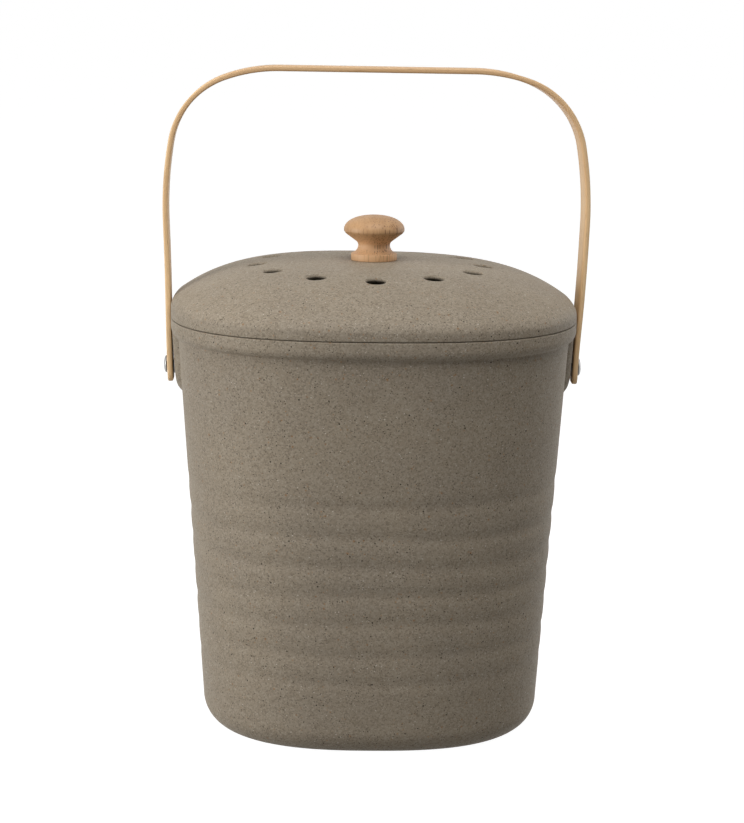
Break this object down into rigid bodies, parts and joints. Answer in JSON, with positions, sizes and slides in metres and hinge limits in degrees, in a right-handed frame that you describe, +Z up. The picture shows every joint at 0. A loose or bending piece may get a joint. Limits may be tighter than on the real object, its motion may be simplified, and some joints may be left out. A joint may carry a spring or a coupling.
{
  "type": "compost caddy",
  "caption": "Countertop compost caddy: tapered rounded-square bin, lift-off domed lid with vent holes and a turned knob, twist-in charcoal filter, and a bent bamboo carry handle.",
  "frame": {"origin": "on the table at the middle of the bin's foot", "axes": "+Z up, front towards -Y, handle pivots on a line along X"},
  "size_m": [0.21, 0.2, 0.3249],
  "materials": {
    "fibre_composite": "matt moulded bamboo-fibre composite, warm grey-brown with pale, dark and ochre flecks",
    "knob_bamboo": "turned solid bamboo, fine-sanded, with fibre dots and streaks",
    "strip_bamboo": "bent bamboo strip, satin, grain along its length",
    "steel": "plated steel, satin",
    "cover_plastic": "matt dark moulded plastic",
    "charcoal_felt": "charcoal-filled needled felt"
  },
  "bodies": {
    "bin": {"bin_body": "fibre_composite", "left_pivot_screw": "steel", "right_pivot_screw": "steel", "left_spacer": "steel", "right_spacer": "steel", "left_inner_washer": "steel", "right_inner_washer": "steel", "left_cap_nut": "steel", "right_cap_nut": "steel"},
    "lid": {"lid": "fibre_composite", "knob": "knob_bamboo", "knob_screw": "steel", "knob_washer": "steel"},
    "filter": {"filter_cover": "cover_plastic", "charcoal_filter": "charcoal_felt"},
    "handle": {"carry_handle": "strip_bamboo"}
  },
  "joints": [
    {"name": "lid_lift", "type": "slide", "parent": "bin", "child": "lid", "axis": [0, 0, 1], "range_m": [0, 0.06]},
    {"name": "filter_twist", "type": "hinge", "parent": "lid", "child": "filter", "pos_m": [0, 0, 0.2104], "axis": [0, 0, 1], "range_deg": [0, 45]},
    {"name": "handle_swing", "type": "hinge", "parent": "bin", "child": "handle", "pos_m": [0, 0, 0.177], "axis": [1, 0, 0], "range_deg": [-138, 138]}
  ]
}
